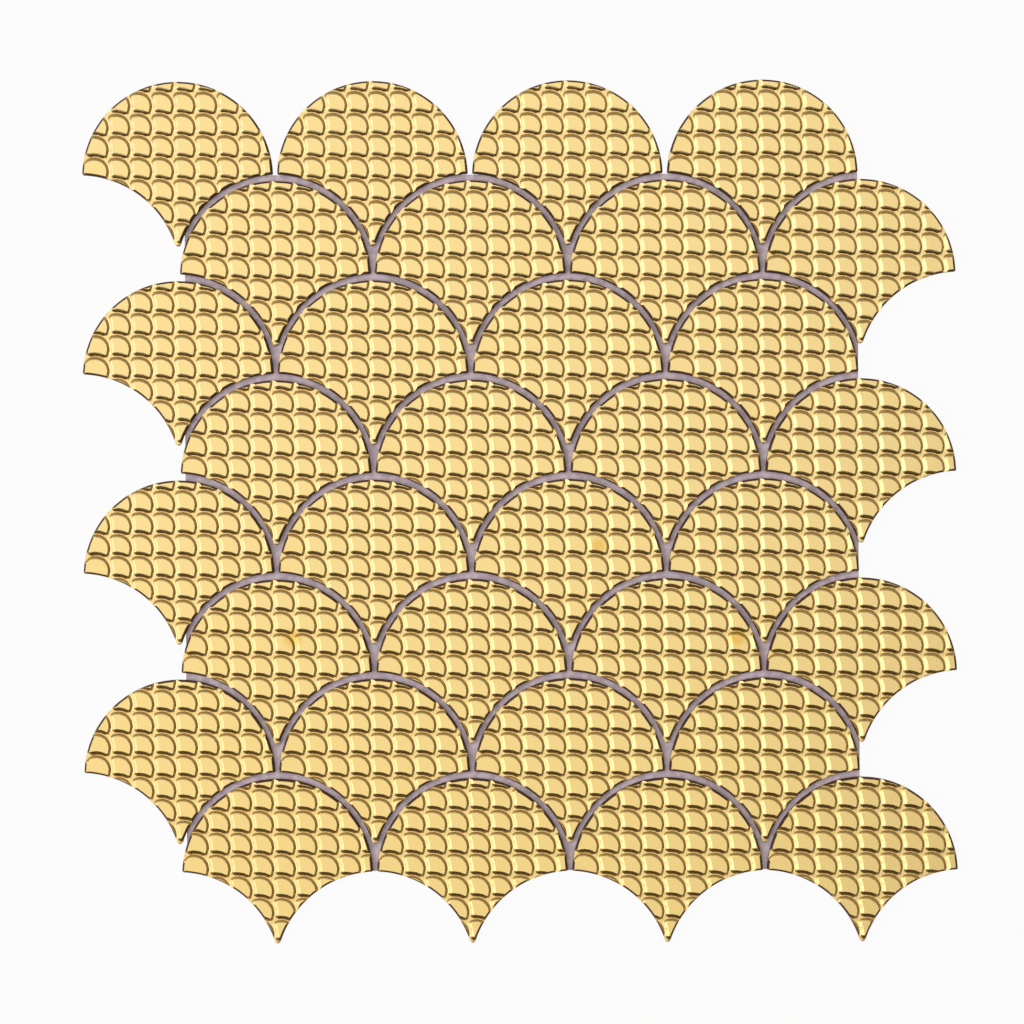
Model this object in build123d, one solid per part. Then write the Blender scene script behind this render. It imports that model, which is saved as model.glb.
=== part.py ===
from build123d import *
import os

# A mosaic sheet of fan-shaped metal tiles, laid like fish scales and stuck on one backing sheet.
# Sizes are in millimetres. The sheet lies face up: +X runs along the rows, +Y points to the
# first row and +Z is up. The origin is on the floor, under the middle of the whole sheet.

# Fan tile: a round head, two hollow flanks that end in sharp shoulders, and a rounded tip
fan_radius = 32.75
tile_thickness = 2.5
tip_radius = 1.0

# Laying pattern: the joint between two heads of one row, and the joint that a flank leaves
# over the crest of the head below it
row_count = 8
column_count = 4
side_joint = 1.5
crest_joint = 2.4

# Backing sheet: its trimmed edges lie this far inside the centres of the outermost heads
backing_thickness = 0.7
backing_inset_left = 2.5
backing_inset_right = 0.5
backing_inset_top = 0.0
backing_inset_bottom = 0.8

# Pitches of the pattern, and the flanks' and the tip's places below a head's centre
column_pitch = 2 * fan_radius + side_joint
row_pitch = fan_radius + side_joint
flank_radius = fan_radius + crest_joint
tip_centre_drop = row_pitch - ((flank_radius + tip_radius) ** 2 - row_pitch**2) ** 0.5
tip_drop = tip_centre_drop + tip_radius

# The rows are centred so that the first row's crests and the last row's tips are as far out
sheet_length = fan_radius + (row_count - 1) * row_pitch + tip_drop
first_row_y = sheet_length / 2 - fan_radius


def head_centre(row, column):
    """Centre of a tile's round head. Every second row is shifted by half a tile."""
    shift = 0.5 * (row % 2)
    middle = (column_count - 0.5) / 2
    return (column + shift - middle) * column_pitch, first_row_y - row * row_pitch


def fan_outline():
    """The fan, with its head centred on the origin and its tip towards -Y."""
    outline = Circle(fan_radius)
    for side in (-1, 1):
        outline -= Pos(side * row_pitch, -row_pitch) * Circle(flank_radius)
    tip = outline.vertices().sort_by(Axis.Y)[0]
    return fillet(tip, tip_radius)


def fan_tile():
    """One tile, flat on the floor plane."""
    return extrude(fan_outline(), tile_thickness)


def backing_sheet():
    """The plain sheet under the tiles. The outermost tiles hang over its edges."""
    leftmost_x, top_y = head_centre(0, 0)
    rightmost_x = head_centre(1, column_count - 1)[0]
    bottom_y = head_centre(row_count - 1, 0)[1]
    left = leftmost_x + backing_inset_left
    right = rightmost_x - backing_inset_right
    top = top_y - backing_inset_top
    bottom = bottom_y + backing_inset_bottom
    outline = Pos((left + right) / 2, (bottom + top) / 2) * Rectangle(right - left, top - bottom)
    return extrude(outline, backing_thickness)


os.makedirs("parts", exist_ok=True)
export_step(backing_sheet(), "parts/backing_sheet.step")

tile = fan_tile()
for row in range(row_count):
    for column in range(column_count):
        x, y = head_centre(row, column)
        placed_tile = Pos(x, y, backing_thickness) * tile
        export_step(placed_tile, f"parts/tile_row{row + 1}_column{column + 1}.step")
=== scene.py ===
import math

import bmesh
import bpy
from mathutils import Matrix, Vector, noise


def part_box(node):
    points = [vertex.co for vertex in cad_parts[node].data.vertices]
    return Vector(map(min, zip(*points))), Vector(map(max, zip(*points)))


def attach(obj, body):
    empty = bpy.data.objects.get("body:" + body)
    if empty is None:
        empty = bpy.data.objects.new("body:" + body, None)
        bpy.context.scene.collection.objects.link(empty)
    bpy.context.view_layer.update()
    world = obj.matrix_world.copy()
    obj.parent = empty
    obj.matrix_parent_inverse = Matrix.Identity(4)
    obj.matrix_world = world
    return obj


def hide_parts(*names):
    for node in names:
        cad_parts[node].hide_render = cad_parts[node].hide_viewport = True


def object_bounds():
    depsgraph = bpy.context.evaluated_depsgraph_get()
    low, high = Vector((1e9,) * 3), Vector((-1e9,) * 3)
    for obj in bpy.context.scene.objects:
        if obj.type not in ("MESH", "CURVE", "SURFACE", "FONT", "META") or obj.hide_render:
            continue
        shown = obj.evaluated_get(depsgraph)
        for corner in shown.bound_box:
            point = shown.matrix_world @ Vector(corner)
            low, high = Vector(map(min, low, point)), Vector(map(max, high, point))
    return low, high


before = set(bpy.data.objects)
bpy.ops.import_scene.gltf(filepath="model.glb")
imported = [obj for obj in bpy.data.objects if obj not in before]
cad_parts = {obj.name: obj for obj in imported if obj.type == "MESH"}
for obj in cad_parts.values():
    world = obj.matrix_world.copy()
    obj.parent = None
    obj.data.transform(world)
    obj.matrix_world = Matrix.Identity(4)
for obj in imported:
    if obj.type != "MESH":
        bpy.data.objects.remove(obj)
cad_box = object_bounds()

MM = 0.001

# Fan tile, in millimetres from the centre of its round head, with the face at height 0
FAN_RADIUS = 32.75
FACE_HEIGHT = 3.2
RIM_ROUND = 0.8
SHOULDER_ROUND = 0.4
FACE_DROP = 0.02
SMOOTH_LIMIT = math.radians(35)

# Scale pattern pressed into the face. It is a lattice of overlapping discs: each disc hides part
# of its right-hand neighbour and of the one above it.
SCALE_PITCH = Vector((7.47, 7.51))
SCALE_CENTRE = Vector((1.38, 1.99))
SCALE_RADIUS = 5.08
SCALE_COLUMNS = range(-4, 5)
SCALE_ROWS = range(-4, 5)
GROOVE_STEPS = 5

# Each disc's flat pad starts this far inside the middle line of the groove on that side
INSET_TOP = 1.45
INSET_RIGHT = 0.88
INSET_LEFT = 1.42
INSET_BOTTOM = 1.4
GROOVE_FLOOR = 0.1
GROOVE_DEPTH = 0.68
SLAB_DEPTH = 5.22
PAD_CORNER = 0.13
PAD_MIDDLE = Vector((0.85, 0.85))

# Groove wall, from its foot to the pad's edge: share of the depth, then how far out the wall is
# there, as a share of its width, for the disc's own arc, the left arc and the lower arc
WALL_STATIONS = (
    (1.0, (1.0, 1.0, 1.0)),
    (0.78, (0.86, 0.8, 0.84)),
    (0.2, (0.44, 0.26, 0.36)),
    (0.0, (0.0, 0.0, 0.0)),
)

# Backing sheet as trimmed by hand, in millimetres beyond the frame's sheet
BACKING_MORE_LEFT = 0.45
BACKING_MORE_TOP = 0.8
BACKING_WAVE = 0.12
BACKING_WAVES = 0.03
BACKING_RIM = 0.1
BACKING_CUTS = 47

# Amber stains on the gold, in metres
STAINS = ((0.0269, -0.0117, 0.0032), (-0.0783, -0.0433, 0.0032), (0.0745, -0.0433, 0.0032))
STAIN_REACH = 0.0045

# Camera, in millimetres: straight above the sheet, turned a little as in the photograph
CAMERA_HEIGHT = 1000.0
CAMERA_SHIFT_X = -2.72
CAMERA_SHIFT_Y = -0.17
CAMERA_TURN = 0.22
VIEW_WIDTH = 351.6
SENSOR_WIDTH = 36.0

# Studio: place, size and watts of each softbox, and its colour
OVERHEAD_LIGHT = ((-0.5, 0.1, 1.9), 2.6, 20.2, (1.0, 1.0, 1.0))
LEFT_LIGHT = ((-1.5, -0.2, 1.15), 1.3, 8.5, (0.86, 0.80, 1.0))

# Room: pale walls near the floor. Above them it is dimmer, and darkest towards the front.
ROOM_WALLS = (0.75, 0.7, 0.62, 1.0)
ROOM_PALE = (0.29, 0.26, 0.22, 1.0)
ROOM_DARK = (0.03, 0.015, 0.005, 1.0)
ROOM_LEAN = -0.3
ROOM_FADE = (-0.75, 0.3)
ROOM_HORIZON = (0.13, 0.38)


class Number:
    """A shader socket that carries a number. Arithmetic on it adds Math nodes."""

    def __init__(self, finish, socket):
        self.finish = finish
        self.socket = socket

    def maths(self, operation, *values):
        node = self.finish.add("ShaderNodeMath", {"operation": operation}, *values)
        return Number(self.finish, node.outputs[0])

    def __add__(self, other):
        return self.maths("ADD", self, other)

    __radd__ = __add__

    def __mul__(self, other):
        return self.maths("MULTIPLY", self, other)

    __rmul__ = __mul__

    def __sub__(self, other):
        return self.maths("SUBTRACT", self, other)

    def __rsub__(self, other):
        return self.maths("SUBTRACT", other, self)


class Finish:
    """A material in the making, with one method for any node."""

    def __init__(self, name):
        self.material = bpy.data.materials.new(name)
        self.material.use_nodes = True
        self.tree = self.material.node_tree
        self.tree.nodes.clear()

    def add(self, kind, settings, *values, **named_values):
        node = self.tree.nodes.new(kind)
        for name, setting in settings.items():
            setattr(node, name, setting)
        for socket, value in zip(node.inputs, values):
            self.feed(socket, value)
        for name, value in named_values.items():
            self.feed(node.inputs[name.replace("_", " ")], value)
        return node

    def feed(self, socket, value):
        if isinstance(value, Number):
            value = value.socket
        if isinstance(value, bpy.types.NodeSocket):
            self.tree.links.new(value, socket)
        else:
            socket.default_value = value

    def number(self, kind, settings, output, **named_values):
        return Number(self, self.add(kind, settings, **named_values).outputs[output])

    def ramp(self, value, low, high):
        """0 below low, 1 above high, smooth between."""
        settings = {"interpolation_type": "SMOOTHSTEP"}
        node = self.add("ShaderNodeMapRange", settings, Value=value)
        node.inputs["From Min"].default_value = low
        node.inputs["From Max"].default_value = high
        return Number(self, node.outputs["Result"])

    def blend(self, share, colour_a, colour_b):
        """Colour a where share is 0, colour b where it is 1."""
        node = self.add("ShaderNodeMix", {"data_type": "RGBA"})
        self.feed(node.inputs["Factor"], share)
        self.feed(node.inputs[6], colour_a)
        self.feed(node.inputs[7], colour_b)
        return node.outputs[2]

    def surface(self, shader):
        output = self.add("ShaderNodeOutputMaterial", {})
        self.tree.links.new(shader, output.inputs["Surface"])
        return self.material


def height_above_floor(finish, place):
    """Height in millimetres, from Object coordinates."""
    split = finish.add("ShaderNodeSeparateXYZ", {}, place)
    return Number(finish, split.outputs["Z"]) * (1 / MM)


def level_share(finish):
    """1 where the surface is level, 0 where it is upright."""
    facing = finish.add("ShaderNodeNewGeometry", {}).outputs["Normal"]
    split = finish.add("ShaderNodeSeparateXYZ", {}, facing)
    return Number(finish, split.outputs["Z"])


def gold_finish():
    """Satin gold on pressed metal. Painted shade makes the sloping groove walls browner, and a painted
    highlight makes the gold paler towards the top of the sheet.
    """
    finish = Finish("satin_gold")
    place = finish.add("ShaderNodeTexCoord", {}).outputs["Object"]
    cloud = finish.number("ShaderNodeTexNoise", {}, "Fac", Vector=place, Scale=60.0, Detail=3.0)
    grain = finish.number("ShaderNodeTexNoise", {}, "Fac", Vector=place, Scale=2500.0, Detail=2.0)
    pale = (0.83, 0.635, 0.255, 1.0)
    deep = (0.82, 0.61, 0.215, 1.0)
    painted_wall_shade = (0.80, 0.49, 0.14, 1.0)
    # Random cloudy tone, plus a painted highlight: paler gold towards the top of the sheet, deeper gold
    # towards the bottom
    rows = Number(finish, finish.add("ShaderNodeSeparateXYZ", {}, place).outputs["Y"])
    colour = finish.blend(finish.ramp(cloud * 0.3 - rows * 3, 0.0, 0.6), pale, deep)
    # Painted shade: browner gold on the groove walls, more of it the steeper the surface
    slope = 1 - level_share(finish)
    colour = finish.blend(finish.ramp(slope, 0.05, 0.25), colour, painted_wall_shade)
    for spot in STAINS:
        away = finish.add("ShaderNodeVectorMath", {"operation": "DISTANCE"}, place, spot)
        reach = Number(finish, away.outputs["Value"]) * (1 / STAIN_REACH) + cloud * 0.6
        colour = finish.blend(1 - finish.ramp(reach, 0.5, 1.2), colour, (0.78, 0.50, 0.10, 1.0))
    bump = finish.add("ShaderNodeBump", {}, Height=grain, Strength=0.05, Distance=0.0001)
    metal = finish.add("ShaderNodeBsdfPrincipled", {}, Base_Color=colour, Metallic=1.0)
    finish.feed(metal.inputs["Roughness"], grain * 0.06 + 0.25)
    finish.feed(metal.inputs["Normal"], bump.outputs["Normal"])
    metal.inputs["Coat Weight"].default_value = 0.8
    metal.inputs["Coat Roughness"].default_value = 0.12
    return finish.surface(metal.outputs[0])


def edge_finish():
    """Cut metal round a tile: gold at the top of its rounded rim, dark brown below. The brown is partly
    the edge's own duller colour and partly painted shade for the tile's dark outline.
    """
    finish = Finish("cut_edge_brown_and_painted_shade")
    place = finish.add("ShaderNodeTexCoord", {}).outputs["Object"]
    streak = finish.number("ShaderNodeTexNoise", {}, "Fac", Vector=place, Scale=900.0, Detail=3.0)
    depth = FACE_HEIGHT - height_above_floor(finish, place) + streak * 0.1
    # Dark brown over nearly all of the rounded rim and the sides: partly the cut edge's own colour,
    # partly painted shade
    gold = (0.80, 0.55, 0.19, 1.0)
    brown = (0.10, 0.05, 0.028, 1.0)
    dull_and_shaded = finish.ramp(depth, 0.02, 0.13)
    colour = finish.blend(dull_and_shaded, gold, brown)
    metal = finish.add("ShaderNodeBsdfPrincipled", {}, Base_Color=colour, Metallic=1 - dull_and_shaded)
    finish.feed(metal.inputs["Roughness"], dull_and_shaded * 0.3 + streak * 0.1 + 0.25)
    metal.inputs["Specular IOR Level"].default_value = 0.15
    return finish.surface(metal.outputs[0])


def backing_finish():
    """Lilac-grey backing sheet, matt."""
    finish = Finish("backing_sheet_lilac_grey")
    place = finish.add("ShaderNodeTexCoord", {}).outputs["Object"]
    cloud = finish.number("ShaderNodeTexNoise", {}, "Fac", Vector=place, Scale=350.0, Detail=4.0)
    fibre = finish.number("ShaderNodeTexNoise", {}, "Fac", Vector=place, Scale=1800.0, Detail=3.0)
    pale = (0.96, 0.81, 0.87, 1.0)
    deep = (0.74, 0.61, 0.67, 1.0)
    colour = finish.blend(finish.ramp(cloud, 0.38, 0.62), pale, deep)
    bump = finish.add("ShaderNodeBump", {}, Height=fibre, Strength=0.4, Distance=0.0001)
    sheet = finish.add("ShaderNodeBsdfPrincipled", {}, Base_Color=colour)
    finish.feed(sheet.inputs["Roughness"], fibre * 0.2 + 0.65)
    finish.feed(sheet.inputs["Normal"], bump.outputs["Normal"])
    return finish.surface(sheet.outputs[0])


def floor_finish():
    """Pale floor. The camera and reflections see it nearly white, and it keeps the shadow."""
    finish = Finish("pale_floor")
    path = finish.add("ShaderNodeLightPath", {})
    seen = Number(finish, path.outputs["Is Camera Ray"]) + Number(finish, path.outputs["Is Glossy Ray"])
    seen = seen + Number(finish, path.outputs["Is Transmission Ray"])
    lit = finish.add("ShaderNodeBsdfDiffuse", {}, Color=(0.8, 0.8, 0.8, 1.0))
    white = finish.add("ShaderNodeEmission", {}, Color=(1.0, 1.0, 1.0, 1.0), Strength=1.0)
    mixed = finish.add("ShaderNodeMixShader", {})
    finish.feed(mixed.inputs[0], seen * 0.94)
    finish.feed(mixed.inputs[1], lit.outputs[0])
    finish.feed(mixed.inputs[2], white.outputs[0])
    return finish.surface(mixed.outputs[0])


def mesh_object(name, shape):
    """A new object that holds the mesh of a bmesh or a mesh."""
    mesh = shape
    if isinstance(shape, bmesh.types.BMesh):
        mesh = bpy.data.meshes.new(name)
        shape.to_mesh(mesh)
        shape.free()
    made = bpy.data.objects.new(name, mesh)
    bpy.context.scene.collection.objects.link(made)
    return made


def bow_out(along, pitch):
    """How far a groove bows out from the straight line between its two ends."""
    return max(0.0, math.sqrt(SCALE_RADIUS**2 - along**2) - pitch / 2)


def bow_grooves(shape, low_corner):
    """Moves the points of a straight lattice onto the discs' arcs, closer together at the nodes."""
    for point in shape.verts:
        steps = [(point.co[axis] - low_corner[axis]) / SCALE_PITCH[axis] for axis in (0, 1)]
        leftmost = steps[0] < 1e-3
        for along, across in ((0, 1), (1, 0)):
            part = steps[along] - math.floor(steps[along] + 1e-4)
            if part < 1e-3:
                continue
            eased = 0.5 - 0.5 * math.cos(math.pi * part)
            pitch = SCALE_PITCH[along]
            point.co[along] += (eased - part) * pitch
            bow = bow_out((eased - 0.5) * pitch, SCALE_PITCH[across])
            point.co[across] += -bow if leftmost and across == 0 else bow


def own_inset(spot):
    """How far the pad's own edge lies inside the groove: most at the top, least at the bottom."""
    climb = spot.y * abs(spot.y) / spot.length_squared
    return INSET_RIGHT + (INSET_TOP - INSET_RIGHT) * climb


def pad_field(spot, leftmost):
    """Below 0 inside a disc's flat pad, with the spot given from the disc's centre. Also the
    share that each of the pad's three arcs has there: its own, the left one and the lower one.
    The leftmost discs have no neighbour on their left."""
    own = spot.length - SCALE_RADIUS + own_inset(spot)
    left = SCALE_RADIUS + INSET_LEFT - (spot + Vector((SCALE_PITCH.x, 0))).length
    below = SCALE_RADIUS + INSET_BOTTOM - (spot + Vector((0, SCALE_PITCH.y))).length
    if leftmost:
        left = -2 * SCALE_RADIUS
    terms = (own, left, below)
    most = max(terms)
    shares = [math.exp((term - most) / PAD_CORNER) for term in terms]
    total = sum(shares)
    return most + PAD_CORNER * math.log(total), [share / total for share in shares]


def pad_edge(towards, leftmost):
    """Where a line from the pad's middle leaves the pad: the point, the outward direction there,
    the width of the groove wall below it and the share of each arc in it."""
    direction = towards.normalized()
    near = 0.0
    far = 2 * SCALE_RADIUS
    for _ in range(30):
        middle = (near + far) / 2
        if pad_field(PAD_MIDDLE + direction * middle, leftmost)[0] < 0:
            near = middle
        else:
            far = middle
    spot = PAD_MIDDLE + direction * near
    outward = Vector((0.0, 0.0))
    for axis, step in enumerate((Vector((0.01, 0.0)), Vector((0.0, 0.01)))):
        outward[axis] = pad_field(spot + step, leftmost)[0] - pad_field(spot - step, leftmost)[0]
    shares = pad_field(spot, leftmost)[1]
    insets = (own_inset(spot), INSET_LEFT, INSET_BOTTOM)
    width = sum(share * inset for share, inset in zip(shares, insets)) - GROOVE_FLOOR
    return spot, outward.normalized(), width, shares


def pressed_scales():
    """A closed slab with the scale pattern on top, larger than a tile."""
    columns = len(SCALE_COLUMNS)
    rows = len(SCALE_ROWS)
    low_corner = Vector((
        SCALE_CENTRE.x + (SCALE_COLUMNS[0] - 0.5) * SCALE_PITCH.x,
        SCALE_CENTRE.y + (SCALE_ROWS[0] - 0.5) * SCALE_PITCH.y,
    ))
    size = Vector((columns * SCALE_PITCH.x, rows * SCALE_PITCH.y))
    shape = bmesh.new()
    bmesh.ops.create_grid(shape, x_segments=columns, y_segments=rows, size=0.5)
    bmesh.ops.scale(shape, vec=(size.x, size.y, 1.0), verts=shape.verts)
    middle = low_corner + size / 2
    bmesh.ops.translate(shape, vec=(middle.x, middle.y, 0.0), verts=shape.verts)
    cells = shape.faces[:]
    centres = [cell.calc_center_median().xy for cell in cells]
    bmesh.ops.bisect_edges(shape, edges=shape.edges[:], cuts=GROOVE_STEPS - 1)
    bow_grooves(shape, low_corner)
    for point in shape.verts:
        point.co.z = -GROOVE_DEPTH

    first_column = min(centre.x for centre in centres) + 0.1
    edges = [
        [pad_edge(point.co.xy - centre, centre.x < first_column) for point in cell.verts]
        for cell, centre in zip(cells, centres)
    ]
    for depth, outsets in WALL_STATIONS:
        bmesh.ops.inset_individual(shape, faces=cells, thickness=0.0)
        for cell, centre, ring in zip(cells, centres, edges):
            for point, (spot, outward, width, shares) in zip(cell.verts, ring):
                outset = sum(share * part for share, part in zip(shares, outsets))
                place = centre + spot + outward * width * outset
                point.co = (place.x, place.y, -GROOVE_DEPTH * depth)

    rim = [edge for edge in shape.edges if edge.is_boundary]
    skirt = bmesh.ops.extrude_edge_only(shape, edges=rim)["geom"]
    skirt_points = [part for part in skirt if isinstance(part, bmesh.types.BMVert)]
    for point in skirt_points:
        point.co.z = -SLAB_DEPTH
    underside = [part for part in skirt if isinstance(part, bmesh.types.BMEdge)]
    bmesh.ops.edgeloop_fill(shape, edges=underside)
    bmesh.ops.recalc_face_normals(shape, faces=shape.faces)
    bmesh.ops.translate(shape, vec=(0.0, 0.0, -FACE_DROP), verts=shape.verts)
    return shape


def head_place(node):
    """Centre of a tile's round head at the height of its face, in metres."""
    low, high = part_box(node)
    return Vector(((low.x + high.x) / 2, high.y - FAN_RADIUS * MM, high.z))


def rounded_fan(node):
    """The fan of one tile of the frame, with its upper rim and shoulders rounded."""
    shape = bmesh.new()
    shape.from_mesh(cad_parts[node].data)
    bmesh.ops.translate(shape, vec=-head_place(node), verts=shape.verts)
    bmesh.ops.scale(shape, vec=(1 / MM,) * 3, verts=shape.verts)
    bmesh.ops.remove_doubles(shape, verts=shape.verts, dist=0.001)
    bmesh.ops.dissolve_limit(
        shape, angle_limit=math.radians(0.5), verts=shape.verts, edges=shape.edges
    )
    shoulders = [
        edge for edge in shape.edges
        if abs(edge.verts[0].co.z - edge.verts[1].co.z) > 1 and edge.calc_face_angle() > 0.8
    ]
    bmesh.ops.bevel(
        shape, geom=shoulders, offset=SHOULDER_ROUND, offset_type="OFFSET",
        segments=3, profile=0.5, affect="EDGES", material=-1,
    )
    rim = [edge for edge in shape.edges if min(point.co.z for point in edge.verts) > -0.01]
    bmesh.ops.bevel(
        shape, geom=rim, offset=RIM_ROUND, offset_type="OFFSET",
        segments=3, profile=0.5, affect="EDGES", material=-1,
    )
    for face in shape.faces:
        face.material_index = 1
    return shape


def pressed_tile(finishes):
    """The mesh of one pressed tile, cut from the scale pattern to the fan's outline."""
    pattern = mesh_object("scale_pattern", pressed_scales())
    fan = mesh_object("fan", rounded_fan("tile_row1_column1"))
    for shape in (pattern, fan):
        for finish in finishes:
            shape.data.materials.append(finish)
    cut = pattern.modifiers.new("cut", "BOOLEAN")
    cut.operation = "INTERSECT"
    cut.solver = "MANIFOLD"
    cut.object = fan
    seen = pattern.evaluated_get(bpy.context.evaluated_depsgraph_get())
    mesh = bpy.data.meshes.new_from_object(seen)
    bpy.data.objects.remove(pattern)
    bpy.data.objects.remove(fan)
    shape = bmesh.new()
    shape.from_mesh(mesh)
    bmesh.ops.remove_doubles(shape, verts=shape.verts, dist=0.002)
    bmesh.ops.dissolve_degenerate(shape, edges=shape.edges, dist=0.002)
    for face in shape.faces:
        on_pad = min(point.co.z for point in face.verts) > -1.5 * FACE_DROP
        face.smooth = not on_pad
    for edge in shape.edges:
        edge.smooth = edge.calc_face_angle(0.0) < SMOOTH_LIMIT
    bmesh.ops.scale(shape, vec=(MM,) * 3, verts=shape.verts)
    shape.to_mesh(mesh)
    shape.free()
    return mesh


def lay_tiles(finishes):
    """A pressed tile in the place of each tile of the frame."""
    tile_mesh = pressed_tile(finishes)
    for node in sorted(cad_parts):
        if not node.startswith("tile_"):
            continue
        mesh = tile_mesh.copy()
        mesh.transform(Matrix.Translation(head_place(node)))
        tile = mesh_object("pressed_" + node, mesh)
        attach(tile, "root")
        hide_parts(node)


def lay_backing(finish):
    """The backing sheet with hand-trimmed edges and a slightly rounded rim."""
    low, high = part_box("backing_sheet")
    low, high = low / MM, high / MM
    low.x -= BACKING_MORE_LEFT
    high.y += BACKING_MORE_TOP
    size = high - low
    middle = (low + high) / 2
    shape = bmesh.new()
    bmesh.ops.create_grid(shape, x_segments=1, y_segments=1, size=0.5)
    bmesh.ops.scale(shape, vec=(size.x, size.y, 1.0), verts=shape.verts)
    bmesh.ops.translate(shape, vec=(middle.x, middle.y, low.z), verts=shape.verts)
    bmesh.ops.bisect_edges(shape, edges=shape.edges[:], cuts=BACKING_CUTS)
    for point in shape.verts:
        if low.x + 0.1 < point.co.x < high.x - 0.1:
            inward = -1 if point.co.y > middle.y else 1
            point.co.y += inward * BACKING_WAVE * (1 + noise.noise(point.co * BACKING_WAVES))
        else:
            inward = -1 if point.co.x > middle.x else 1
            point.co.x += inward * BACKING_WAVE * (1 + noise.noise(point.co * BACKING_WAVES))
    sheet = shape.faces[:]
    raised = bmesh.ops.extrude_face_region(shape, geom=sheet, use_keep_orig=True)["geom"]
    top = [part for part in raised if isinstance(part, bmesh.types.BMVert)]
    bmesh.ops.translate(shape, vec=(0.0, 0.0, size.z), verts=top)
    bmesh.ops.recalc_face_normals(shape, faces=shape.faces)
    rim = [edge for edge in shape.edges if min(point.co.z for point in edge.verts) > high.z - 0.01]
    bmesh.ops.bevel(
        shape, geom=rim, offset=BACKING_RIM, offset_type="OFFSET",
        segments=2, profile=0.5, affect="EDGES", material=-1,
    )
    bmesh.ops.scale(shape, vec=(MM,) * 3, verts=shape.verts)
    backing = mesh_object("trimmed_backing_sheet", shape)
    backing.data.materials.append(finish)
    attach(backing, "root")
    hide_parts("backing_sheet")


def lay_floor(finish):
    shape = bmesh.new()
    bmesh.ops.create_grid(shape, x_segments=1, y_segments=1, size=6.0)
    floor = mesh_object("floor", shape)
    floor.data.materials.append(finish)


def soft_light(name, place, size, watts, colour):
    """A square softbox that faces the middle of the sheet."""
    lamp = bpy.data.lights.new(name, "AREA")
    lamp.shape = "SQUARE"
    lamp.size = size
    lamp.energy = watts
    lamp.color = colour
    made = bpy.data.objects.new(name, lamp)
    made.location = place
    made.rotation_mode = "QUATERNION"
    made.rotation_quaternion = Vector(place).to_track_quat("Z", "Y")
    bpy.context.scene.collection.objects.link(made)


def room_fade(tree, value, limits, start, end):
    """Colour that goes from start to end as the value goes from one limit to the other."""
    fade = tree.nodes.new("ShaderNodeMapRange")
    fade.interpolation_type = "SMOOTHSTEP"
    fade.inputs["From Min"].default_value = limits[0]
    fade.inputs["From Max"].default_value = limits[1]
    shade = tree.nodes.new("ShaderNodeMix")
    shade.data_type = "RGBA"
    tree.links.new(value, fade.inputs["Value"])
    tree.links.new(fade.outputs["Result"], shade.inputs["Factor"])
    shade.inputs[6].default_value = start
    if isinstance(end, tuple):
        shade.inputs[7].default_value = end
    else:
        tree.links.new(end, shade.inputs[7])
    return shade.outputs[2]


def light_studio():
    soft_light("overhead_light", *OVERHEAD_LIGHT)
    soft_light("left_light", *LEFT_LIGHT)
    world = bpy.data.worlds.new("studio")
    bpy.context.scene.world = world
    world.use_nodes = True
    tree = world.node_tree
    direction = tree.nodes.new("ShaderNodeTexCoord")
    split = tree.nodes.new("ShaderNodeSeparateXYZ")
    lean = tree.nodes.new("ShaderNodeMath")
    lean.operation = "MULTIPLY_ADD"
    lean.inputs[1].default_value = ROOM_LEAN
    tree.links.new(direction.outputs["Generated"], split.inputs[0])
    tree.links.new(split.outputs["X"], lean.inputs[0])
    tree.links.new(split.outputs["Y"], lean.inputs[2])
    above = room_fade(tree, lean.outputs[0], ROOM_FADE, ROOM_DARK, ROOM_PALE)
    colour = room_fade(tree, split.outputs["Z"], ROOM_HORIZON, ROOM_WALLS, above)
    tree.links.new(colour, tree.nodes["Background"].inputs["Color"])


def set_camera():
    low, high = cad_box
    lens = bpy.data.cameras.new("camera")
    lens.sensor_width = SENSOR_WIDTH
    lens.lens = SENSOR_WIDTH * CAMERA_HEIGHT / VIEW_WIDTH
    camera = bpy.data.objects.new("camera", lens)
    camera.location = (
        (low.x + high.x) / 2 + CAMERA_SHIFT_X * MM,
        (low.y + high.y) / 2 + CAMERA_SHIFT_Y * MM,
        high.z + CAMERA_HEIGHT * MM,
    )
    camera.rotation_euler = (0.0, 0.0, -math.radians(CAMERA_TURN))
    bpy.context.scene.collection.objects.link(camera)
    bpy.context.scene.camera = camera


set_camera()
light_studio()
lay_floor(floor_finish())
lay_backing(backing_finish())
lay_tiles((gold_finish(), edge_finish()))

bpy.context.scene.view_settings.view_transform = "Standard"
